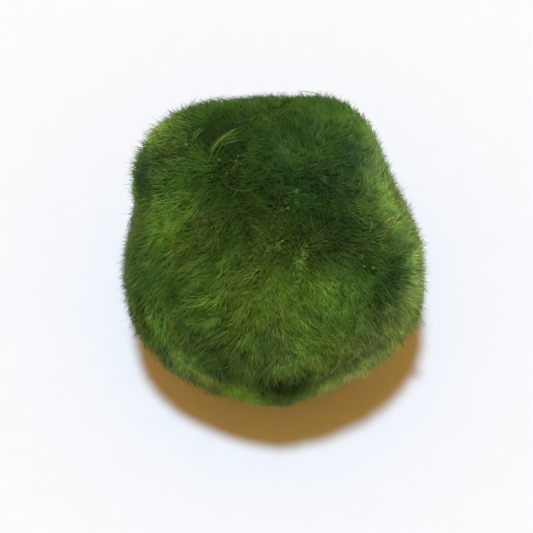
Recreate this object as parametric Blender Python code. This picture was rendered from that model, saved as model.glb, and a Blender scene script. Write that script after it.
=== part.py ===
# A marimo moss ball: one soft, slightly lumpy ball of green algae that rests on a small flat spot.
#
# The solid is the outline that the filament tips reach. It is one piece, as the living ball is:
# there is no core and nothing inside. Metres, +Z up, front towards -Y. The origin is on the surface
# that the ball rests on, under the middle of its bounding box.

import math

import bpy
from mathutils import Vector

# Driving dimensions, in metres
BALL_RADIUS = 0.0254  # mean radius of the tips' outline
FOOT_DEPTH = 0.0017  # how much of the round underside is pressed flat
CUTTER_MARGIN = 0.01  # how far the foot cutter reaches past the ball

SQUASH = 0.955  # height over width: the ball sags a little under its own weight
SPHERE_SUBDIVISIONS = 5  # 5120 triangles

# The swells and hollows that make this ball lumpy. Each is a smooth bump centred on one direction:
# azimuth in degrees from +X towards +Y, elevation in degrees above the horizon, height as a share
# of the ball's radius (negative for a hollow), and width as the angle at which it has faded to 1/e.
SWELLS = {
    "back_left_shoulder": (136, 20, 0.152, 27),
    "back_right_shoulder": (62, 20, 0.116, 21),
    "right_flank_hollow": (27, 12, -0.116, 29),
    "front_right_hollow": (-64, -16, -0.070, 20),
    "front_tuft": (-86, -22, 0.030, 9),
    "front_left_swell": (212, -7, 0.056, 20),
    "left_flank_hollow": (168, 10, -0.112, 12),
    "crown_hollow": (62, 60, -0.045, 20),
    "crown_swell": (200, 66, 0.012, 24),
    "back_crown_fold": (118, 48, -0.030, 9),
    "front_left_fold": (228, 22, -0.018, 10),
    "front_right_swell": (-46, 6, 0.010, 18),
    "right_side_flat": (-5, -2, -0.030, 12),
    "right_shoulder_flat": (34, 12, -0.016, 9),
}

# Fine waviness of the felted surface: its height as a share of the radius, how fast it waves in
# radians per ball radius, and its phase in radians
RIPPLES = ((0.0065, 5.0, 0.4), (0.0045, 8.0, 1.9))

MOSS_GREEN = (0.065, 0.125, 0.022, 1.0)
MOSS_ROUGHNESS = 0.95


def direction(azimuth, elevation):
    """The unit vector at an azimuth and an elevation given in degrees."""
    turn, rise = math.radians(azimuth), math.radians(elevation)
    return Vector((math.cos(turn) * math.cos(rise), math.sin(turn) * math.cos(rise), math.sin(rise)))


def swell_at(way):
    """How far the outline stands out from the plain ball in this direction, as a share of its radius."""
    total = 0.0
    for azimuth, elevation, height, width in SWELLS.values():
        apart = math.degrees(way.angle(direction(azimuth, elevation)))
        total += height * math.exp(-((apart / width) ** 2))
    return total


def ripple_at(way):
    """The fine waviness in this direction, as a share of the radius."""
    total = 0.0
    for height, speed, phase in RIPPLES:
        total += height * math.sin(speed * way.x + phase) * math.sin(speed * way.y - phase)
        total += height * math.sin(speed * way.z + 2 * phase) * math.cos(speed * way.x - phase)
    return total


def moss_material():
    material = bpy.data.materials.new("moss_green")
    material.use_nodes = True
    shader = material.node_tree.nodes["Principled BSDF"]
    shader.inputs["Base Color"].default_value = MOSS_GREEN
    shader.inputs["Roughness"].default_value = MOSS_ROUGHNESS
    shader.inputs["Metallic"].default_value = 0.0
    return material


def collection_named(name):
    made = bpy.data.collections.new(name)
    bpy.context.scene.collection.children.link(made)
    return made


def move_to(collection, obj):
    for old in list(obj.users_collection):
        old.objects.unlink(obj)
    collection.objects.link(obj)


def make_ball():
    """A sphere whose points are moved in or out along their own directions by the swells."""
    bpy.ops.mesh.primitive_ico_sphere_add(subdivisions=SPHERE_SUBDIVISIONS, radius=BALL_RADIUS)
    ball = bpy.context.object
    ball.name = ball.data.name = "moss_ball"
    for point in ball.data.vertices:
        way = point.co.normalized()
        reach = BALL_RADIUS * (1 + swell_at(way) + ripple_at(way))
        point.co = Vector((way.x * reach, way.y * reach, way.z * reach * SQUASH))
    return ball


def centre_on_foot(ball):
    """Moves the points so that the foot's plane is z = 0 and the bounding box is centred over the origin."""
    corners = [point.co for point in ball.data.vertices]
    low = [min(corner[axis] for corner in corners) for axis in range(3)]
    high = [max(corner[axis] for corner in corners) for axis in range(3)]
    shift = Vector(((low[0] + high[0]) / 2, (low[1] + high[1]) / 2, low[2] + FOOT_DEPTH))
    for point in ball.data.vertices:
        point.co -= shift


def press_foot(ball, cutters):
    """Takes off what lies below z = 0, which leaves the flat spot."""
    side = 4 * BALL_RADIUS
    depth = FOOT_DEPTH + CUTTER_MARGIN
    bpy.ops.mesh.primitive_cube_add(size=1, location=(0, 0, -depth / 2))
    cutter = bpy.context.object
    cutter.name = "foot_cutter"
    cutter.scale = (side, side, depth)
    cutter.hide_render = True
    cutter.display_type = "WIRE"
    move_to(cutters, cutter)
    cut = ball.modifiers.new("flat_spot", "BOOLEAN")
    cut.operation = "DIFFERENCE"
    cut.solver = "EXACT"
    cut.object = cutter


def main():
    for obj in list(bpy.data.objects):
        bpy.data.objects.remove(obj)
    parts = collection_named("marimo_moss_ball")
    cutters = collection_named("cutters")
    ball = make_ball()
    centre_on_foot(ball)
    press_foot(ball, cutters)
    ball.data.materials.append(moss_material())
    ball.data.shade_smooth()
    move_to(parts, ball)


main()
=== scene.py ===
# Marimo moss ball: a felted ball of green algae filaments lying on a pale table.
# Metres, +Z up, front towards -Y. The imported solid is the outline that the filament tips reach:
# the felt lies a little inside it and the filaments grow from the felt up to it.

import math

import bmesh
import bpy
import numpy as np
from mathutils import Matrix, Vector
from mathutils.bvhtree import BVHTree
from mathutils.kdtree import KDTree


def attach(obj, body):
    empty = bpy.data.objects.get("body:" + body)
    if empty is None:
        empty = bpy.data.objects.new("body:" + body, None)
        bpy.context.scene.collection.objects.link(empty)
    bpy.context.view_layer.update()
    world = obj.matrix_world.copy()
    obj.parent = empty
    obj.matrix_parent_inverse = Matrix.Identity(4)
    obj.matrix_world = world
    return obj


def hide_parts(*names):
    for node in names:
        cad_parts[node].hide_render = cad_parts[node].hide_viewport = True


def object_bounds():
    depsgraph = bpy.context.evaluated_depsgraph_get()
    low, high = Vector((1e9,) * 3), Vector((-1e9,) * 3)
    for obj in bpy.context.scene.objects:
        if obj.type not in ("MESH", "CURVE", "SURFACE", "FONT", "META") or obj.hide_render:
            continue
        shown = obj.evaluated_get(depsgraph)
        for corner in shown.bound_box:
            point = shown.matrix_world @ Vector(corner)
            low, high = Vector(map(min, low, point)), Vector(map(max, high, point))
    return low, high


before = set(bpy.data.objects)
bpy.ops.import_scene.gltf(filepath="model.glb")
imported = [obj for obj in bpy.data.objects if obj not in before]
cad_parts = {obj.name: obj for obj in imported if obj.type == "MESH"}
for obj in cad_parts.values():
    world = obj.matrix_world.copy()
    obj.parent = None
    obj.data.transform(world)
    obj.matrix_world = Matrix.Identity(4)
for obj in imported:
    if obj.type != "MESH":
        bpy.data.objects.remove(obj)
print("moss ball: frame loaded")

solidLow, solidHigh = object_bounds()
ballCentre = np.array((solidLow + solidHigh) / 2)
ballWidth = solidHigh.x - solidLow.x
mm = ballWidth / 49.5  # the ball is 49.5 mm wide, so this is one millimetre of it


def wayTo(azimuth, elevation):
    # unit vector; azimuth in degrees from +X towards +Y, elevation above the horizon
    turn, rise = math.radians(azimuth), math.radians(elevation)
    return np.array((math.cos(turn) * math.cos(rise), math.sin(turn) * math.cos(rise), math.sin(rise)))


def unit(rows):
    return rows / np.maximum(np.linalg.norm(rows, axis=-1, keepdims=True), 1e-12)


def dot(a, b):
    return np.sum(a * b, axis=-1, keepdims=True)


# random fields that vary smoothly over the ball, each with its own seed
noise = {
    "ballRadius": 25 * mm,  # they are read on a plain round ball of this size
    "waves": 14,
    "waveLengths": (0.6, 1.4),  # how much the waves of one field differ in length
    "seeds": {
        "combing": 11,
        "tone": 21,
        "warmth": 26,
        "pale": 29,
        "feltLumps": 31,
        "feltPits": 32,
        "streak": 33,
        "length": 41,
    },
}


def noisePlaces(ways):
    return ways * noise["ballRadius"]


def softNoise(places, size, seed):
    # roughly -1 to 1, with lumps about one size across
    rng = np.random.default_rng(seed)
    waves = noise["waves"]
    headings = unit(rng.normal(size=(waves, 3)))
    pitch = headings * rng.uniform(*noise["waveLengths"], (waves, 1)) * math.pi / size
    phase = rng.uniform(0, 2 * math.pi, waves)
    return np.cos(places @ pitch.T + phase).sum(axis=1) / math.sqrt(waves)


def withNoise(amounts, places, layers, seed):
    # adds layers of noise, each with the size of its lumps and its amount
    for number, (size, amount) in enumerate(layers):
        amounts = amounts + amount * softNoise(places, size, seed + number)
    return amounts


def fade(ways, azimuth, elevation, width):
    # 1 in the middle of a patch, and 1/e at this many degrees from it
    apart = np.degrees(np.arccos(np.clip(ways @ wayTo(azimuth, elevation), -1, 1)))
    return np.exp(-((apart / width) ** 2))


def patchSum(ways, patches):
    # each patch: azimuth, elevation, amount, and width in degrees
    total = np.zeros(len(ways))
    for azimuth, elevation, amount, width in patches.values():
        total += amount * fade(ways, azimuth, elevation, width)
    return total


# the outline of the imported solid, kept as its reach from the middle in every direction
outline = {
    "node": "moss_ball",
    "rings": 180,  # steps from pole to pole
    "spokes": 360,  # steps round
    "floorGap": 0.00012,  # metres; nothing comes nearer to the table than this
    "normalStep": 0.05,  # radians to each side, over which the outline's slope is read
    "nearPole": 0.9,  # past this height on a ball of radius 1, the slope is measured from +X instead of +Z
}


def readOutline():
    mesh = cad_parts[outline["node"]].data
    tree = BVHTree.FromPolygons([v.co for v in mesh.vertices], [p.vertices[:] for p in mesh.polygons])
    middle = Vector(ballCentre)
    reach = np.zeros((outline["rings"] + 1, outline["spokes"] + 1))
    for ring in range(outline["rings"] + 1):
        for spoke in range(outline["spokes"]):
            way = wayTo(360 * spoke / outline["spokes"], 180 * ring / outline["rings"] - 90)
            reach[ring, spoke] = tree.ray_cast(middle, Vector(way))[3]
    reach[:, -1] = reach[:, 0]
    return reach


outlineReach = readOutline()


def reachAlong(ways):
    # the outline's distance from the middle, evened out between the four nearest readings
    ring = (np.degrees(np.arcsin(np.clip(ways[:, 2], -1, 1))) + 90) * outline["rings"] / 180
    spoke = (np.degrees(np.arctan2(ways[:, 1], ways[:, 0])) % 360) * outline["spokes"] / 360
    below = np.minimum(ring.astype(int), outline["rings"] - 1)
    before = np.minimum(spoke.astype(int), outline["spokes"] - 1)
    up, on = ring - below, spoke - before
    low = outlineReach[below, before] * (1 - on) + outlineReach[below, before + 1] * on
    high = outlineReach[below + 1, before] * (1 - on) + outlineReach[below + 1, before + 1] * on
    return low * (1 - up) + high * up


def outlinePoints(ways, depth=0.0):
    return ballCentre + ways * (reachAlong(ways) - depth)[:, None]


def outwardAt(ways):
    # the outline's normal, from points a small step to each side
    atPole = np.abs(ways[:, 2:]) >= outline["nearPole"]
    aside = unit(np.cross(ways, np.where(atPole, (1.0, 0.0, 0.0), (0.0, 0.0, 1.0))))
    over = np.cross(ways, aside)
    step = outline["normalStep"]
    across = outlinePoints(unit(ways + step * aside)) - outlinePoints(unit(ways - step * aside))
    along = outlinePoints(unit(ways + step * over)) - outlinePoints(unit(ways - step * over))
    out = unit(np.cross(across, along))
    return out * np.sign(dot(out, ways))


def evenWays(count, rng, jitter=0.5):
    # directions spread evenly over the ball on a golden spiral, each shaken a little
    index = np.arange(count) + 0.5
    rise = 1 - 2 * index / count
    turn = math.pi * (1 + math.sqrt(5)) * index
    flat = np.sqrt(1 - rise * rise)
    ways = np.stack((flat * np.cos(turn), flat * np.sin(turn), rise), axis=1)
    return unit(ways + rng.normal(size=ways.shape) * jitter * math.sqrt(4 * math.pi / count))


print("moss ball: outline read")


# how the moss lies: it is combed away from a whorl on the crown, and some areas are pulled their own way
combing = {
    "whorl": (-76, 77),
    "fromWhorl": 0.55,
    "fall": (0.0, -0.30, -0.20),  # a steady pull forward and down
    "waves": ((8.0 * mm, 0.34), (3.0 * mm, 0.26)),  # size, and how far they turn the filaments
    "pulls": {  # azimuth, elevation, width in degrees, and the way in which the filaments lie
        "leftFlank": (-166, 55, 22, (-0.45, -0.85, -0.25)),
        "leftShoulder": (146, 34, 15, (-0.90, -0.35, -0.40)),
        "lowerLeft": (-124, 32, 18, (-0.90, -0.40, -0.30)),
        "lowerLeftLip": (-138, 7, 12, (1.70, -1.50, -0.60)),
        "lowerFrontLip": (-112, -6, 11, (1.50, -0.50, -0.20)),
        "frontFoot": (-86, 4, 14, (0.0, -0.30, -0.90)),
        "lowerRight": (-52, 6, 18, (0.15, -0.50, -1.10)),
        "rightRim": (-25, 14, 14, (1.0, -0.10, 0.0)),
        "rightFlankUp": (2, 28, 14, (0.60, 1.20, 0.30)),
        "rightShoulder": (22, 34, 24, (0.50, 2.00, 0.50)),
    },
    "fullPull": 0.6,  # a pull of this strength lays them right down
    "stillBelow": 0.45,  # a pull weaker than this leaves them tangled
    "matted": {  # where the filaments are tangled and lie every way
        "crown": (40, 76, 0.8, 24),
        "whorl": (-76, 77, 1.0, 16),
        "backCrown": (100, 55, 0.5, 26),
    },
    "standing": {  # where they stand out from the ball instead of lying down
        "rightFlank": (-18, 14, 0.70, 26),
        "rightShoulder": (26, 30, 0.45, 18),
        "leftShoulder": (146, 24, 0.60, 16),
        "leftFlank": (190, 5, 0.50, 26),
        "frontFoot": (-88, -5, 0.50, 24),
    },
    "standingShare": 0.6,  # how much of their lie a fully standing area takes away
    "leastLying": 0.7,
    "mattedWaves": 1.5,  # how much further the waves turn them where they are tangled
    "mattedSpread": 3.0,  # how many times as much they cross one another there
}


def combAt(ways, outward):
    # the direction in which the filaments lie, how far down they lie from 0 to 1, and how tangled they are
    places = noisePlaces(ways)
    seed = noise["seeds"]["combing"]
    matted = np.clip(patchSum(ways, combing["matted"]), 0, 1)[:, None]
    away = ways - wayTo(*combing["whorl"])
    pull = unit(away - dot(away, outward) * outward) * combing["fromWhorl"] * (1 - matted)
    pull = pull + np.array(combing["fall"])
    for azimuth, elevation, width, direction in combing["pulls"].values():
        pull = pull + fade(ways, azimuth, elevation, width)[:, None] * np.array(direction)
    for number, (size, turn) in enumerate(combing["waves"]):
        wander = [softNoise(places, size, seed + 3 * number + axis) for axis in range(3)]
        pull = pull + np.stack(wander, axis=1) * turn * (1 + combing["mattedWaves"] * matted)
    pull = pull - dot(pull, outward) * outward
    strength = np.linalg.norm(pull, axis=1)
    matted = np.maximum(matted, np.clip(1 - strength / combing["stillBelow"], 0, 1)[:, None])
    least = combing["leastLying"] + (1 - combing["leastLying"]) * matted[:, 0]
    lying = np.clip(strength / combing["fullPull"], least, 1)
    lying *= 1 - combing["standingShare"] * np.clip(patchSum(ways, combing["standing"]), 0, 1)
    return unit(pull), lying, matted


# painted light and shade on the moss, in stops: each whole stop doubles the brightness. The patches stand
# in for how the light falls on its hollows, dips, swells, rims and the lip round the foot
paintedLightAndShade = {
    # painted shade in hollows and dips
    "crownHollow": (2, 69, -1.25, 18),
    "crownBack": (75, 74, -1.10, 16),
    "crownFront": (-112, 77, -1.40, 13),
    "crownLeft": (150, 69, -1.30, 12),
    "crownRight": (-42, 64, -1.00, 9),
    "backLeftDip": (121, 50, -1.70, 13),
    "backDip": (84, 46, -0.85, 12),
    "leftShoulderEdge": (156, 27, -1.30, 10),
    "leftShoulderDip": (153, 43, -0.50, 7),
    "leftCheekDip": (-145, 55, -0.60, 9),
    "rightCheek": (-32, 28, -0.95, 11),
    "rightCheekUpperShade": (-24, 50, -0.45, 7),
    "rightShoulderShade": (38, 44, -0.55, 10),
    "lowerFrontDip": (-110, 21, -0.40, 9),
    "lowerRightDip": (-75, 23, -0.40, 6),
    "lowerRightShade": (-58, 14, -0.40, 7),
    "lowerLeftDip": (-114, 8, -0.70, 8),
    "lowerLeftShade": (-131, 18, -0.45, 7),
    "frontTuftShade": (-86, 6, -1.60, 9),
    "lowerLeftFold": (-153, 13, -0.80, 4),
    "lowerLeftFoldMiddle": (-145, 6, -1.30, 4),
    "lowerLeftFoldEnd": (-137, -1, -1.30, 4),
    # small spots of painted shade
    "leftSpot": (-139, 34, -0.60, 4),
    "leftCheekSpot": (-156, 57, -0.40, 6),
    "middleSpot": (-110, 60, -0.60, 6),
    "lowerMiddleSpot": (-109, 42, -0.45, 6),
    "whorlSpot": (-80, 70, -0.45, 5),
    "whorlRightSpot": (-66, 63, -0.50, 5),
    # painted highlights on swells and ridges that catch the light
    "crownMiddleLight": (10, 79, 0.45, 8),
    "backDipLight": (62, 70, 0.85, 8),
    "leftShoulderRim": (156, 5, 1.00, 8),
    "leftShoulderLight": (146, 25, 0.60, 11),
    "leftFlankLight": (-178, 42, 0.70, 12),
    "leftFrontLight": (-126, 38, 0.40, 10),
    "lowerLeftRidge": (-142, 10, 0.70, 4),
    "lowerFrontLight": (-88, 38, 0.35, 30),
    "lowerRightLight": (-57, 46, 0.55, 10),
    "lowerRightTuftLight": (-57, 27, 0.65, 8),
    "rightCheekUpperLight": (-3, 51, 0.45, 7),
    "rightRimLight": (-22, 12, 1.30, 16),
    "rightRimUpperLight": (-4, 24, 0.70, 12),
    "rightShoulderLight": (10, 42, 1.05, 11),
    "rightShoulderMiddleLight": (23, 33, 0.40, 8),
    "rightShoulderEdgeLight": (42, 26, 0.55, 13),
    # painted light on the lip round the foot
    "lowerLeftLip": (-129, 3, 1.10, 12),
    "lowerFrontLip": (-105, -4, 0.90, 10),
    "lowerFrontRightLip": (-75, -1, 0.55, 7),
    "lowerRightLip": (-50, -2, 0.95, 15),
    "lowerRightRim": (-64, -12, 0.55, 12),
}
toneNoise = ((6 * mm, 0.18), (2.6 * mm, 0.12))  # size, and stops
toneLimits = (-3, 1)  # stops

# how warm and yellow the green is, from 0 to 1: the patches add to the plain warmth or take from it
plainWarmth = 0.5
mossWarmth = {
    "lowerMiddleYellow": (-92, 52, 0.70, 20),
    "leftCheekYellow": (-168, 52, 0.52, 14),
    "crownFrontYellow": (-94, 77, 0.58, 8),
    "lowerFrontBlue": (-91, 35, -0.24, 8),
    "rightShoulderYellow": (3, 42, 0.15, 10),
    "backRightGreen": (38, 50, -0.36, 10),
    "leftShoulderEdgeBlue": (156, 26, -0.50, 9),
    "leftShoulderRimYellow": (156, 3, 0.30, 9),
    "leftShoulderYellow": (136, 28, 0.38, 12),
    "lowerLeftLipYellow": (-112, -5, 0.42, 14),
    "lowerFrontRightYellow": (-71, 26, 0.30, 9),
    "lowerRightRimYellow": (-66, -12, 0.34, 14),
    "rightCheekGreen": (-30, 34, -0.36, 9),
    "lowerLeftDipBlue": (-112, 9, -0.44, 7),
    "crownBlue": (15, 72, -0.17, 18),
}
warmthNoise = ((7 * mm, 0.06), (2.2 * mm, 0.04))

# how pale the tips are, from 0 to 1: dry tips, and painted sheen and highlights on the rims and the fuzz;
# the patches add to what they are everywhere
paleTipsAndSheen = {
    "lowerRightTips": (-49, 6, 0.70, 19),
    "lowerRightRimTips": (-64, -12, 0.40, 13),
    "lowerLeftTips": (-124, -5, 0.45, 15),
    "rightRimTips": (-16, 13, 0.60, 18),
    "rightShoulderTips": (20, 36, 0.50, 22),
    "leftShoulderTips": (146, 25, 0.25, 12),
    "leftFlankTips": (185, 5, 0.25, 16),
    "lowerFront": (-100, 28, 0.10, 16),
    "lowerFrontPaintedSheen": (-90, 25, 0.20, 9),
}
paleEverywhere = 0.04
paleNoise = ((3.4 * mm, 0.07), (1.4 * mm, 0.05))


# the filaments gather into locks, drawn out the way they lie, whose tips stand out past the rest; a
# painted highlight lightens the locks and painted shade darkens the grooves between them
streak = {
    "width": 1.1 * mm,
    "steps": (-2.0, -1.2, -0.4, 0.4, 1.2, 2.0),  # mm along the lock over which its lightness is evened out
    "contrast": 2.4,
    "limit": 2.2,  # a lock or a groove is never stronger than this
    "tone": 0.17,  # stops of painted highlight on the locks and painted shade in the grooves
    # painted sheen on the locks
    "pale": 0.05,
    "relief": 0.16 * mm,  # how far a lock's tips stand out past the rest
}


def streakAt(ways, comb):
    # below zero in a groove and above it on a lock, mostly by about 1
    total = np.zeros(len(ways))
    for step in streak["steps"]:
        total += softNoise(noisePlaces(ways) + comb * step * mm, streak["width"], noise["seeds"]["streak"])
    return np.clip(total / len(streak["steps"]) * streak["contrast"], -streak["limit"], streak["limit"])


def paintAt(ways):
    # the tone, which carries painted light and shade, the warmth, and the paleness, which carries dry tips
    # and painted sheen, in each direction
    places, seeds = noisePlaces(ways), noise["seeds"]
    tone = withNoise(patchSum(ways, paintedLightAndShade), places, toneNoise, seeds["tone"])
    warmth = withNoise(plainWarmth + patchSum(ways, mossWarmth), places, warmthNoise, seeds["warmth"])
    pale = withNoise(paleEverywhere + patchSum(ways, paleTipsAndSheen), places, paleNoise, seeds["pale"])
    return tone, warmth, pale


def paintValues(tone, warmth, pale, each):
    # the paint of every point, where each strand has the same number of points
    values = {"tone": np.clip(tone, *toneLimits)}
    values["warmth"] = np.clip(warmth, 0, 1)
    values["pale"] = np.clip(pale, 0, 1)
    return {key: np.repeat(value, each) for key, value in values.items()}


def addMesh(name, points, faces, pointValues=None, uvPlaces=None):
    mesh = bpy.data.meshes.new(name)
    mesh.from_pydata(points, [], faces)
    for key, values in (pointValues or {}).items():
        layer = mesh.attributes.new(key, "FLOAT", "POINT")
        layer.data.foreach_set("value", values.astype(np.float32))
    if uvPlaces is not None:
        layer = mesh.uv_layers.new(name="OFBake")
        layer.data.foreach_set("uv", uvPlaces[faces.ravel()].astype(np.float32).ravel())
    mesh.shade_smooth()
    piece = bpy.data.objects.new(name, mesh)
    bpy.context.scene.collection.objects.link(piece)
    return piece


def place(piece, material):
    piece.data.materials.append(material)
    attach(piece, "root")
    print("moss ball:", piece.name, len(piece.data.polygons), "faces")


def startMaterial(name):
    material = bpy.data.materials.new(name)
    material.use_nodes = True
    nodes = material.node_tree.nodes
    return material, nodes, material.node_tree.links, nodes["Principled BSDF"]


def attributeNode(nodes, name):
    node = nodes.new("ShaderNodeAttribute")
    node.attribute_name = name
    return node


def rampNode(nodes, stops):
    node = nodes.new("ShaderNodeValToRGB")
    ramp = node.color_ramp
    while len(ramp.elements) < len(stops):
        ramp.elements.new(0.5)
    for element, (position, colour) in zip(ramp.elements, stops):
        element.position = position
        element.color = (*colour, 1.0)
    return node


def multiplyNode(nodes, links, first, second):
    node = nodes.new("ShaderNodeMix")
    node.data_type = "RGBA"
    node.blend_type = "MULTIPLY"
    node.inputs["Factor"].default_value = 1.0
    links.new(first, node.inputs["A"])
    links.new(second, node.inputs["B"])
    return node.outputs["Result"]


def noiseNode(nodes, links, size, detail=3):
    coordinates = nodes.new("ShaderNodeTexCoord")
    node = nodes.new("ShaderNodeTexNoise")
    node.inputs["Scale"].default_value = 1 / size
    node.inputs["Detail"].default_value = detail
    links.new(coordinates.outputs["Object"], node.inputs["Vector"])
    return node


def bumpTo(nodes, links, height, shader, look):
    bump = nodes.new("ShaderNodeBump")
    bump.inputs["Strength"].default_value = look["bumpStrength"]
    bump.inputs["Distance"].default_value = look["bumpDepth"]
    links.new(height, bump.inputs["Height"])
    links.new(bump.outputs["Normal"], shader.inputs["Normal"])


def mossColour(nodes, links, look):
    # root to tip colour, paler towards the tips where they are dry and where sheen is painted, times the
    # area's warmth, fine mottling, and tone in stops, which carries painted light and shade
    share = attributeNode(nodes, "along").outputs["Fac"]
    along = rampNode(nodes, look["rootToTip"])
    links.new(share, along.inputs["Fac"])
    warmth = rampNode(nodes, look["coolToWarm"])
    links.new(attributeNode(nodes, "warmth").outputs["Fac"], warmth.inputs["Fac"])
    mottle = rampNode(nodes, look["mottle"])
    patchy = noiseNode(nodes, links, look["mottleSize"])
    links.new(patchy.outputs["Fac"], mottle.inputs["Fac"])
    stops = nodes.new("ShaderNodeMath")
    stops.operation = "POWER"
    stops.inputs[0].default_value = 2
    links.new(attributeNode(nodes, "tone").outputs["Fac"], stops.inputs[1])
    dryTipsAndSheen = nodes.new("ShaderNodeMath")
    dryTipsAndSheen.operation = "MULTIPLY"
    links.new(attributeNode(nodes, "pale").outputs["Fac"], dryTipsAndSheen.inputs[0])
    links.new(share, dryTipsAndSheen.inputs[1])
    paler = nodes.new("ShaderNodeMix")
    paler.data_type = "RGBA"
    paler.inputs["B"].default_value = (*look["paleColour"], 1.0)
    links.new(dryTipsAndSheen.outputs["Value"], paler.inputs["Factor"])
    links.new(along.outputs["Color"], paler.inputs["A"])
    colour = multiplyNode(nodes, links, paler.outputs["Result"], warmth.outputs["Color"])
    colour = multiplyNode(nodes, links, colour, mottle.outputs["Color"])
    return multiplyNode(nodes, links, colour, stops.outputs["Value"])


filamentLook = {
    "rootToTip": (
        (0.0, (0.072, 0.190, 0.020)),
        (0.35, (0.099, 0.266, 0.028)),
        (0.80, (0.130, 0.326, 0.039)),
        (1.0, (0.192, 0.410, 0.067)),
    ),
    "paleColour": (0.38, 0.43, 0.22),  # dry tips, and the painted grey-green sheen on the filaments
    "coolToWarm": ((0.0, (0.50, 0.88, 1.40)), (0.5, (1.0, 1.0, 1.0)), (1.0, (1.50, 1.15, 1.0))),
    "mottle": ((0.35, (0.74, 0.78, 0.80)), (0.65, (1.16, 1.13, 1.08))),
    "mottleSize": 2.2 * mm,
    "roughness": 0.55,
    "specular": 0.2,
    "glow": 0.5,  # share of the light that passes through a filament
}


def filamentMaterial():
    material, nodes, links, shader = startMaterial("moss_filaments")
    colour = mossColour(nodes, links, filamentLook)
    links.new(colour, shader.inputs["Base Color"])
    shader.inputs["Roughness"].default_value = filamentLook["roughness"]
    shader.inputs["Specular IOR Level"].default_value = filamentLook["specular"]
    through = nodes.new("ShaderNodeBsdfTranslucent")
    links.new(colour, through.inputs["Color"])
    both = nodes.new("ShaderNodeMixShader")
    both.inputs["Fac"].default_value = filamentLook["glow"]
    links.new(shader.outputs["BSDF"], both.inputs[1])
    links.new(through.outputs["BSDF"], both.inputs[2])
    links.new(both.outputs["Shader"], nodes["Material Output"].inputs["Surface"])
    return material


# the felt is the matted body of the ball, under the filaments
felt = {
    "levels": 6,  # 20480 faces
    "depth": 1.6 * mm,  # how far it lies inside the outline
    "lumps": 0.28 * mm,
    "lumpSize": 2.6 * mm,
    "pits": 0.12 * mm,
    "pitSize": 0.9 * mm,
    "fibreShades": ((0.30, (0.45, 0.45, 0.45)), (0.72, (1.3, 1.3, 1.3))),
    "fibreSize": 0.35 * mm,
    "fibreDetail": 4,
    "along": 0.22,  # coloured as the filaments are this far from their roots
    "roughness": (0.95, 0.70),  # in the grooves between fibres, and on them
    "specular": 0.25,
    "bumpStrength": 0.6,
    "bumpDepth": 0.15 * mm,
}


def feltDepth(ways):
    places, seeds = noisePlaces(ways), noise["seeds"]
    lumps = softNoise(places, felt["lumpSize"], seeds["feltLumps"]) * felt["lumps"]
    pits = softNoise(places, felt["pitSize"], seeds["feltPits"]) * felt["pits"]
    return felt["depth"] + lumps + pits


def feltMaterial():
    material, nodes, links, shader = startMaterial("moss_felt")
    colour = mossColour(nodes, links, {**filamentLook, **felt})
    fibres = noiseNode(nodes, links, felt["fibreSize"], felt["fibreDetail"])
    shades = rampNode(nodes, felt["fibreShades"])
    links.new(fibres.outputs["Fac"], shades.inputs["Fac"])
    links.new(multiplyNode(nodes, links, colour, shades.outputs["Color"]), shader.inputs["Base Color"])
    rough = nodes.new("ShaderNodeMapRange")
    rough.inputs["To Min"].default_value = felt["roughness"][0]
    rough.inputs["To Max"].default_value = felt["roughness"][1]
    links.new(fibres.outputs["Fac"], rough.inputs["Value"])
    links.new(rough.outputs["Result"], shader.inputs["Roughness"])
    shader.inputs["Specular IOR Level"].default_value = felt["specular"]
    bumpTo(nodes, links, fibres.outputs["Fac"], shader, felt)
    return material


def makeFelt():
    shape = bmesh.new()
    bmesh.ops.create_icosphere(shape, subdivisions=felt["levels"], radius=1.0)
    ways = unit(np.array([v.co for v in shape.verts]))
    faces = np.array([[v.index for v in f.verts] for f in shape.faces])
    shape.free()
    points = outlinePoints(ways, feltDepth(ways))
    points[:, 2] = np.maximum(points[:, 2], outline["floorGap"])
    along = np.full(len(ways), felt["along"])
    piece = addMesh("moss_felt", points, faces, {"along": along, **paintValues(*paintAt(ways), 1)})
    place(piece, feltMaterial())
    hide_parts("moss_ball")


makeFelt()


# where a strand's colour goes in its cell of the bake map, as shares of the cell
bakeCell = {
    "shape": 2.0,  # how many times as tall as wide, as a strand is long and thin
    "bands": 160,  # latitude bands in which the strands take their cells
    "sides": (0.15, 0.5, 0.85),
    "root": 0.06,
    "height": 0.88,
}


def mapCells(count):
    # one small cell of the bake map for each strand, in rows
    columns = int(math.ceil(math.sqrt(count * bakeCell["shape"])))
    rows = int(math.ceil(count / columns))
    index = np.arange(count)
    corner = np.stack((index % columns / columns, index // columns / rows), axis=1)
    return corner, np.array((1 / columns, 1 / rows))


def neighbourOrder(ways):
    # sorts strands by latitude band and then round it, so that neighbours share a part of the map
    band = np.floor((ways[:, 2] + 1) / 2 * bakeCell["bands"]).astype(int)
    turn = np.arctan2(ways[:, 1], ways[:, 0])
    return np.lexsort((np.where(band % 2 == 0, turn, -turn), band))


tufts = {
    "seed": 51,
    "count": 5200,  # about 1.3 mm apart
    "jitter": 0.6,
    "lean": 0.16,  # how far each tuft turns from the combing
    "toneVary": 0.07,
    "warmthVary": 0.03,
    "lengthVary": 0.14,
}


def makeTufts():
    rng = np.random.default_rng(tufts["seed"])
    middles = evenWays(tufts["count"], rng, tufts["jitter"])
    tree = KDTree(tufts["count"])
    for number, way in enumerate(middles):
        tree.insert(way, number)
    tree.balance()
    return {
        "tree": tree,
        "middle": outlinePoints(middles),
        "lean": unit(rng.normal(size=middles.shape)) * tufts["lean"],
        "tone": rng.normal(size=tufts["count"]) * tufts["toneVary"],
        "warmth": rng.normal(size=tufts["count"]) * tufts["warmthVary"],
        "length": 1 + rng.uniform(-1, 1, tufts["count"]) * tufts["lengthVary"],
    }


tuft = makeTufts()


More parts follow.
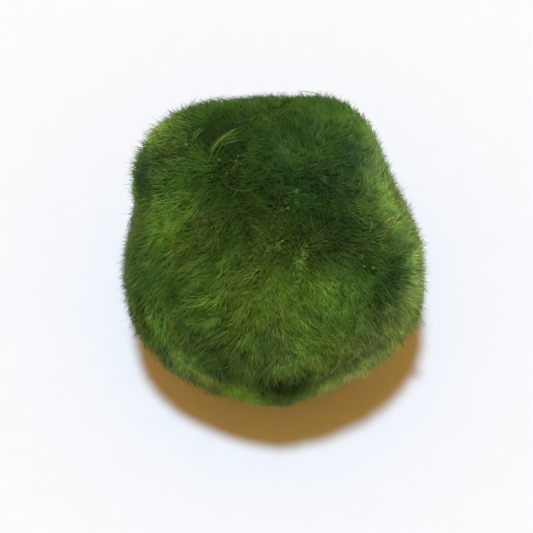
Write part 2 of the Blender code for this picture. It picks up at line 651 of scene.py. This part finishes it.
# where the tips stand out furthest past the rest, as patches like those of the tone
shaggy = {
    "rightRim": (-14, 12, 0.7, 22),
    "rightShoulder": (30, 26, 0.7, 20),
    "leftShoulder": (144, 22, 0.8, 18),
    "leftFlank": (188, 6, 0.6, 22),
    "lowerRight": (-48, -2, 0.9, 20),
    "lowerLeft": (-130, -4, 0.8, 18),
}


# what all the coats share
growth = {
    "lengthWave": (3 * mm, 0.15),  # size of the areas of longer and shorter strands, and how they differ
    "straysElsewhere": 0.4,  # chance of a stray outside the shaggy areas, against the chance in them
    "strayLean": (0.5, 0.6),  # how much strays lean near the root and near the tip, against the rest
    "strayShare": (0.2, 1.0),  # how far strays reach, as a share of the coat's strayReach
    "tuftCurve": 1.5,  # the pull to the middle of the tuft grows with this power of the way along
    "shortest": 0.2,  # no strand is shrunk below this share of its length
    "flattest": 0.05 * mm,  # a strand that climbs less than this isn't stretched any further
    "floorWidths": 0.6,  # how many of its widths a strand keeps off the table
    "widthVary": 0.25,
    "shagVary": 2.2,  # how much more tone and paleness vary in the shaggy areas
}


def strandLines(root, outward, comb, leans, curl, length, segments):
    # each strand leans further from root to tip, and turns sideways as it goes
    aside = np.cross(outward, comb)
    leanStart, leanEnd = leans
    line = [root]
    for part in range(segments):
        share = (part + 0.5) / segments
        lean = (leanStart + (leanEnd - leanStart) * share)[:, None]
        turn = (curl * share)[:, None]
        flat = comb * np.cos(turn) + aside * np.sin(turn)
        step = np.cos(lean) * outward + np.sin(lean) * flat
        line.append(line[-1] + step * (length / segments)[:, None])
    return np.stack(line, axis=1)


def endAtLevel(line, root, over, stretch):
    # shrinks or stretches each strand until its tip is at its level over the outline
    tipAway = line[:, -1] - ballCentre
    tipFar = np.linalg.norm(tipAway, axis=1)
    rootFar = np.linalg.norm(root - ballCentre, axis=1)
    allowed = reachAlong(tipAway / tipFar[:, None]) + over - rootFar
    climb = np.maximum(tipFar - rootFar, growth["flattest"])
    shrink = np.clip(allowed / climb, growth["shortest"], stretch)
    return root[:, None] + (line - root[:, None]) * shrink[:, None, None]


def growStrands(settings):
    rng = np.random.default_rng(settings["seed"])
    ways = evenWays(settings["count"], rng)
    ways = ways[neighbourOrder(ways)]
    count = len(ways)
    outward = outwardAt(ways)
    comb, lying, matted = combAt(ways, outward)
    lock = streakAt(ways, comb)
    root = outlinePoints(ways, feltDepth(ways) + settings["rootDepth"])
    owner = np.array([tuft["tree"].find(way)[1] for way in ways])
    toTuft = tuft["middle"][owner] - outlinePoints(ways)
    tangle = 1 + (combing["mattedSpread"] - 1) * matted
    comb = comb + (tuft["lean"][owner] + rng.normal(size=(count, 3)) * settings["spread"]) * tangle
    comb = unit(comb - dot(comb, outward) * outward)

    waveSize, waveShare = growth["lengthWave"]
    wave = softNoise(noisePlaces(ways), waveSize, noise["seeds"]["length"])
    length = settings["length"] * (1 + settings["lengthVary"] * rng.uniform(-1, 1, count))
    length *= tuft["length"][owner] * (1 + waveShare * wave)
    leanStart = np.radians(settings["leanStart"] * lying + rng.normal(size=count) * settings["leanVary"])
    leanEnd = np.radians(settings["leanEnd"] * lying + rng.normal(size=count) * settings["leanVary"])
    curl = np.radians(rng.normal(size=count) * settings["curl"])
    shag = np.clip(patchSum(ways, shaggy), 0, 1)
    stray = rng.uniform(size=count) < settings["strays"] * (growth["straysElsewhere"] + shag)
    leanStart[stray] *= growth["strayLean"][0]
    leanEnd[stray] *= growth["strayLean"][1]
    over = np.where(stray, rng.uniform(*growth["strayShare"], count) * settings["strayReach"], 0.0)
    over += rng.uniform(*settings["tipLevel"], count) * mm
    over += lock * streak["relief"]
    over += rng.uniform(0, 1, count) * shag * settings["shag"] * mm

    line = strandLines(root, outward, comb, (leanStart, leanEnd), curl, length, settings["segments"])
    share = np.linspace(0, 1, settings["segments"] + 1)[None, :, None]
    line = line + toTuft[:, None, :] * settings["tuftPull"] * share ** growth["tuftCurve"]
    line = endAtLevel(line, root, over, settings["stretch"])
    floor = outline["floorGap"] + settings["width"] * growth["floorWidths"]
    line[:, :, 2] = np.maximum(line[:, :, 2], floor)
    return ways, line, outward, owner, lock, shag, rng


def spindleFaces(rings):
    # the three sides of one spindle, between its two points, all facing outward
    faces = []
    last = 1 + 3 * rings
    top = last - 3
    for corner in range(3):
        after = (corner + 1) % 3
        faces.append((0, 1 + corner, 1 + after))
        for ring in range(rings - 1):
            low, high = 1 + 3 * ring, 4 + 3 * ring
            faces.append((low + corner, high + after, low + after))
            faces.append((low + corner, high + corner, high + after))
        faces.append((top + corner, last, top + after))
    return np.array(faces)


def spindleMesh(name, line, outward, width, taper, tone, warmth, pale):
    # one closed three-sided spindle along each line, pointed at both ends
    count, knots = line.shape[0], line.shape[1]
    rng = np.random.default_rng(count)
    rings = knots - 2
    spin = rng.uniform(0, 2 * math.pi / 3, count)
    points = np.zeros((count, 2 + 3 * rings, 3))
    points[:, 0], points[:, -1] = line[:, 0], line[:, -1]
    for ring in range(rings):
        ahead = unit(line[:, ring + 2] - line[:, ring])
        side = unit(np.cross(ahead, outward))
        lift = np.cross(side, ahead)
        thick = width / 2 * taper[ring]
        for corner in range(3):
            turn = spin + 2 * math.pi * corner / 3
            offset = np.cos(turn)[:, None] * side + np.sin(turn)[:, None] * lift
            points[:, 1 + 3 * ring + corner] = line[:, ring + 1] + offset * thick[:, None]
    points[:, :, 2] = np.maximum(points[:, :, 2], outline["floorGap"])
    each = points.shape[1]
    allFaces = (spindleFaces(rings)[None] + (np.arange(count) * each)[:, None, None]).reshape(-1, 3)

    along = np.concatenate(([0.0], np.repeat(np.arange(1, rings + 1), 3) / (rings + 1), [1.0]))
    values = {"along": np.tile(along, count), **paintValues(tone, warmth, pale, each)}
    corners, cell = mapCells(count)
    spot = np.zeros((each, 2))
    spot[:, 0] = np.concatenate(([0.5], np.tile(bakeCell["sides"], rings), [0.5]))
    spot[:, 1] = bakeCell["root"] + bakeCell["height"] * along
    uvPlaces = (corners[:, None] + spot[None] * cell).reshape(-1, 2)
    return addMesh(name, points.reshape(-1, 3), allFaces, values, uvPlaces)


def strandMesh(name, settings):
    ways, line, outward, owner, lock, shag, rng = growStrands(settings)
    count = len(ways)
    width = settings["width"] * rng.uniform(1 - growth["widthVary"], 1 + growth["widthVary"], count)
    tone, warmth, pale = paintAt(ways)
    vary = 1 + growth["shagVary"] * shag
    tone += settings["toneVary"] * vary * rng.normal(size=count)
    # the tuft's own random tone, with painted highlight on the locks and painted shade in the grooves
    tone += tuft["tone"][owner] + lock * streak["tone"]
    warmth += settings["warmthVary"] * rng.normal(size=count) + tuft["warmth"][owner]
    # a few strands far paler as painted glints, and painted sheen on the locks
    pale += settings["paleVary"] * vary * rng.exponential(size=count) + lock * streak["pale"]
    return spindleMesh(name, line, outward, width, settings["taper"], tone, warmth, pale)


# the three coats: lengths, widths and reaches in the frame's unit, leans and curls in degrees
undercoat = {
    "seeds": (101, 102),  # one piece for each
    "count": 33200,  # strands in each piece
    "segments": 2,
    "taper": (1.0,),  # thickness at each bend, against the width
    "length": 2.6 * mm,
    "lengthVary": 0.25,
    "width": 0.16 * mm,
    "rootDepth": 0.2 * mm,  # how far down in the felt they start
    "leanStart": 34,  # from upright, near the root
    "leanEnd": 72,  # and near the tip
    "leanVary": 11,
    "curl": 20,
    "spread": 0.26,  # how much neighbours cross one another
    "tuftPull": 0.22,  # how far the tips are drawn to the middle of their tuft
    "strays": 0.0,  # chance of a stray in the shaggy areas
    "strayReach": 0.0,
    "tipLevel": (-0.9, -0.1),  # how far above the outline the tips end, in mm
    "stretch": 1.35,  # the most that a strand is stretched to end there
    "shag": 0.0,  # how much further the tips reach in the shaggy areas, in mm
    "toneVary": 0.07,
    "warmthVary": 0.02,
    "paleVary": 0.04,
}
topCoat = {
    "seeds": (201, 202),
    "count": 16600,
    "segments": 3,
    "taper": (1.0, 0.72),
    "length": 4.4 * mm,
    "lengthVary": 0.30,
    "width": 0.125 * mm,
    "rootDepth": 0.15 * mm,
    "leanStart": 36,
    "leanEnd": 80,
    "leanVary": 10,
    "curl": 24,
    "spread": 0.22,
    "tuftPull": 0.30,
    "strays": 0.04,
    "strayReach": 0.7 * mm,
    "tipLevel": (-0.8, 0.3),
    "stretch": 1.35,
    "shag": 0.2,
    "toneVary": 0.07,
    "warmthVary": 0.02,
    "paleVary": 0.06,
}
fringe = {
    "seeds": (301,),
    "count": 26000,
    "segments": 2,
    "taper": (1.0,),
    "length": 3.0 * mm,
    "lengthVary": 0.25,
    "width": 0.08 * mm,
    "rootDepth": 0.1 * mm,
    "leanStart": 24,
    "leanEnd": 60,
    "leanVary": 13,
    "curl": 26,
    "spread": 0.34,
    "tuftPull": 0.20,
    "strays": 0.045,
    "strayReach": 1.1 * mm,
    "tipLevel": (-0.4, 0.9),
    "stretch": 1.60,
    "shag": 1.1,
    "toneVary": 0.10,
    "warmthVary": 0.03,
    "paleVary": 0.12,
}

filaments = filamentMaterial()


def makeCoat(name, settings):
    for number, seed in enumerate(settings["seeds"]):
        label = name if len(settings["seeds"]) == 1 else "%s_%d" % (name, number + 1)
        place(strandMesh(label, {**settings, "seed": seed}), filaments)


makeCoat("moss_undercoat", undercoat)
makeCoat("moss_top_coat", topCoat)
makeCoat("moss_fringe", fringe)


# longer filaments that have worked loose and lie on the ball
loose = {
    "seed": 71,
    "parts": 8,  # straight steps in each
    "width": 0.085 * mm,
    "level": (-0.25, 0.25),  # above the outline, in mm
    "widthVary": (0.7, 1.3),
    "taperCurve": 0.5,
    "riseCurve": 1.5,  # an end that stands off rises with this power of the way along
    # paler than the moss under them: partly dry filaments and partly painted glints
    "paler": (0.1, 0.5),
    "singles": 150,
    "singleJitter": 0.8,
    "singleWander": 0.7,  # how far they turn from the combing
    "singleLength": (3.0, 7.5),  # mm
    "singleBend": 45,  # degrees, one way or the other
    "singleRise": (0, 0.5),  # mm
    "singleTone": (-0.2, 0.5),
    "lockScatter": 0.014,  # how far apart a lock's filaments start, as a share of the ball's radius
    "lockWander": 0.05,
    "lockLength": (0.8, 1.05),  # shortest and longest filament, against the lock's length
    "lockBend": 4,  # degrees, one way or the other
    "lockRise": (0.3, 1),
    "lockTone": 0.2,
    # where each lock starts, where it heads, its length in mm, its bend in degrees, how far its end stands
    # off in mm, how many filaments it has, and its tone
    "locks": {
        "crownLock": ((146, 60), (131, 51), 8.8, -64, 0.3, 14, 1.1),
        "crownLockFork": ((134, 55), (114, 58), 4.6, -10, 0.3, 7, 1.2),
        "leftCrownStreak": ((128, 44), (143, 46), 3.2, 10, 0.2, 9, 1.3),
        "rightRimDryWisp": ((-26, 3), (-37, -12), 3.2, 30, 2.2, 20, -0.6),
        "lowerRightTips": ((-52, -5), (-56, -34), 4.0, 0, 2.2, 9, 1.4),
    },
}


def loosePaths(ways, heading, length, bend, level, rise):
    # each filament runs over the ball from its start, turning steadily, and its end may stand off
    line = []
    for part in range(loose["parts"] + 1):
        share = part / loose["parts"]
        line.append(outlinePoints(ways, -(level + rise * share ** loose["riseCurve"])))
        heading = unit(heading - dot(heading, ways) * ways)
        turn = (bend / loose["parts"])[:, None]
        heading = heading * np.cos(turn) + np.cross(ways, heading) * np.sin(turn)
        ways = unit(ways + heading * (length / loose["parts"] / reachAlong(ways))[:, None])
    line = np.stack(line, axis=1)
    line[:, :, 2] = np.maximum(line[:, :, 2], outline["floorGap"] + loose["width"])
    return line


def makeLoose():
    rng = np.random.default_rng(loose["seed"])
    count = loose["singles"]
    ways = evenWays(count, rng, loose["singleJitter"])
    comb = combAt(ways, outwardAt(ways))[0]
    starts, headings = [ways], [comb + rng.normal(size=(count, 3)) * loose["singleWander"]]
    lengths = [rng.uniform(*loose["singleLength"], count) * mm]
    bends = [np.radians(rng.normal(size=count) * loose["singleBend"])]
    rises = [rng.uniform(*loose["singleRise"], count) * mm]
    tones = [rng.uniform(*loose["singleTone"], count)]
    for start, towards, length, bend, rise, many, tone in loose["locks"].values():
        starts.append(unit(wayTo(*start) + rng.normal(size=(many, 3)) * loose["lockScatter"]))
        heading = unit(wayTo(*towards) - wayTo(*start))
        headings.append(heading + rng.normal(size=(many, 3)) * loose["lockWander"])
        lengths.append(rng.uniform(*loose["lockLength"], many) * length * mm)
        bends.append(np.radians(bend + rng.normal(size=many) * loose["lockBend"]))
        rises.append(rng.uniform(*loose["lockRise"], many) * rise * mm)
        tones.append(tone + rng.normal(size=many) * loose["lockTone"])
    ways, bend, rise = np.concatenate(starts), np.concatenate(bends), np.concatenate(rises)
    count = len(ways)
    level = rng.uniform(*loose["level"], count) * mm
    line = loosePaths(ways, np.concatenate(headings), np.concatenate(lengths), bend, level, rise)
    width = loose["width"] * rng.uniform(*loose["widthVary"], count)
    tone, warmth, pale = paintAt(ways)
    tone += np.concatenate(tones)
    # paler loose filaments: partly dry and partly painted glints
    pale += rng.uniform(*loose["paler"], count)
    taper = np.sin(np.linspace(0, math.pi, loose["parts"] + 1))[1:-1] ** loose["taperCurve"]
    return spindleMesh("loose_filaments", line, ways, width, taper, tone, warmth, pale)


place(makeLoose(), filaments)


# grains of sand caught in the moss
sand = {
    "seed": 81,
    "levels": 2,  # 80 faces
    "radius": (0.13, 0.30),  # mm
    "depth": (0.25, 0.7),  # mm below the outline
    "stretch": (0.7, 1.2),  # along each axis
    "dents": 0.32,  # how uneven a grain is, as a share of its radius
    "dentPitch": 3,
    "spots": {  # azimuth, elevation, how far they scatter in degrees, how many
        "crownFront": (-80, 80, 8, 7),
        "rightCheek": (-33, 45, 3, 2),
        "leftCheek": (-133, 32, 4, 2),
        "leftShoulder": (141, 41, 5, 3),
        "crownLeft": (153, 68, 6, 4),
        "lowerFront": (-90, 25, 16, 5),
    },
    "shades": ((0.35, (0.050, 0.062, 0.018)), (0.65, (0.125, 0.130, 0.050))),
    "speckleSize": 0.12 * mm,
    "roughness": 0.75,
    "bumpStrength": 0.5,
    "bumpDepth": 0.03 * mm,
}


def sandMaterial():
    material, nodes, links, shader = startMaterial("sand_grain")
    speckle = noiseNode(nodes, links, sand["speckleSize"])
    shades = rampNode(nodes, sand["shades"])
    links.new(speckle.outputs["Fac"], shades.inputs["Fac"])
    links.new(shades.outputs["Color"], shader.inputs["Base Color"])
    shader.inputs["Roughness"].default_value = sand["roughness"]
    bumpTo(nodes, links, speckle.outputs["Fac"], shader, sand)
    return material


def makeSand():
    rng = np.random.default_rng(sand["seed"])
    ball = bmesh.new()
    bmesh.ops.create_icosphere(ball, subdivisions=sand["levels"], radius=1.0)
    pebble = np.array([v.co for v in ball.verts])
    faces = np.array([[v.index for v in f.verts] for f in ball.faces])
    ball.free()
    points, allFaces = [], []
    for azimuth, elevation, scatter, many in sand["spots"].values():
        near = math.radians(scatter) / 1.4  # the scatter is shared between two directions
        for _ in range(many):
            way = unit(wayTo(azimuth, elevation) + rng.normal(size=3) * near)
            middle = outlinePoints(way[None], rng.uniform(*sand["depth"]) * mm)
            shape = pebble * rng.uniform(*sand["stretch"], 3)
            slope = pebble @ rng.normal(size=(3, 1)) * sand["dentPitch"]
            phase = rng.uniform(0, 6)
            shape *= 1 + sand["dents"] * np.sin(slope + phase)
            allFaces.append(faces + len(points) * len(pebble))
            points.append(middle + shape * rng.uniform(*sand["radius"]) * mm)
    return addMesh("sand_grains", np.concatenate(points), np.concatenate(allFaces))


place(makeSand(), sandMaterial())


studio = {
    "tableSize": 6.0,
    "tableShades": ((0.3, (0.548, 0.575, 0.615)), (0.7, (0.558, 0.585, 0.625))),
    "tableGrain": 0.004,
    "tableGrainDetail": 4,
    "tableRoughness": 0.7,
    "tableSpecular": 0.2,
    "keySide": 133,  # degrees from +X towards +Y: from behind the ball and its left
    "keyRise": 86.6,  # degrees above the table
    "keyDistance": 1.0,  # only where the lamp stands, as its light is the same from any distance
    "keySpread": 6.3,  # degrees across, as seen from the ball
    "keyStrength": 4.6,
    "keyColour": (0.635, 0.825, 1.0),
    "fillColour": (0.86, 0.46, 0.105),
    "backdrop": (0.90, 0.91, 0.92),
}
cameraView = {
    "rise": 68,  # degrees above the table
    "lens": 164.5,
    "sensor": 36,
    "clip": (0.005, 20),
    "distance": 400 * mm,
    "aimRight": -1.15 * mm,
    "aimUp": -2.7 * mm,
}


def makeTable():
    bpy.ops.mesh.primitive_plane_add(size=studio["tableSize"], location=(0, 0, 0))
    table = bpy.context.object
    table.name = "pale_table"
    material, nodes, links, shader = startMaterial("pale_table_top")
    grain = noiseNode(nodes, links, studio["tableGrain"], studio["tableGrainDetail"])
    shade = rampNode(nodes, studio["tableShades"])
    links.new(grain.outputs["Fac"], shade.inputs["Fac"])
    links.new(shade.outputs["Color"], shader.inputs["Base Color"])
    shader.inputs["Roughness"].default_value = studio["tableRoughness"]
    shader.inputs["Specular IOR Level"].default_value = studio["tableSpecular"]
    table.data.materials.append(material)


def aimAt(thing, target):
    thing.rotation_mode = "QUATERNION"
    thing.rotation_quaternion = (Vector(target) - thing.location).to_track_quat("-Z", "Y")


def makeLights():
    lamp = bpy.data.lights.new("soft_key", "SUN")
    lamp.angle = math.radians(studio["keySpread"])
    lamp.energy = studio["keyStrength"]
    lamp.color = studio["keyColour"]
    key = bpy.data.objects.new("soft_key", lamp)
    bpy.context.scene.collection.objects.link(key)
    key.location = Vector(ballCentre + wayTo(studio["keySide"], studio["keyRise"]) * studio["keyDistance"])
    aimAt(key, ballCentre)
    world = bpy.data.worlds.new("soft_room")
    bpy.context.scene.world = world
    world.use_nodes = True
    nodes, links = world.node_tree.nodes, world.node_tree.links
    fill = nodes["Background"]
    fill.inputs["Color"].default_value = (*studio["fillColour"], 1.0)
    seen = nodes.new("ShaderNodeBackground")
    seen.inputs["Color"].default_value = (*studio["backdrop"], 1.0)
    ray = nodes.new("ShaderNodeLightPath")
    both = nodes.new("ShaderNodeMixShader")
    links.new(ray.outputs["Is Camera Ray"], both.inputs["Fac"])
    links.new(fill.outputs["Background"], both.inputs[1])
    links.new(seen.outputs["Background"], both.inputs[2])
    links.new(both.outputs["Shader"], nodes["World Output"].inputs["Surface"])


def makeCamera():
    rise = math.radians(cameraView["rise"])
    back = Vector((0, -math.cos(rise), math.sin(rise)))
    up = Vector((0, math.sin(rise), math.cos(rise)))
    target = Vector(ballCentre) + Vector((cameraView["aimRight"], 0, 0)) + up * cameraView["aimUp"]
    lens = bpy.data.cameras.new("camera")
    lens.lens = cameraView["lens"]
    lens.sensor_width = cameraView["sensor"]
    lens.clip_start, lens.clip_end = cameraView["clip"]
    camera = bpy.data.objects.new("camera", lens)
    bpy.context.scene.collection.objects.link(camera)
    camera.location = target + back * cameraView["distance"]
    aimAt(camera, target)
    bpy.context.scene.camera = camera


makeTable()
makeLights()
makeCamera()
bpy.context.scene.view_settings.view_transform = "Standard"
print("moss ball: table, light and camera set")
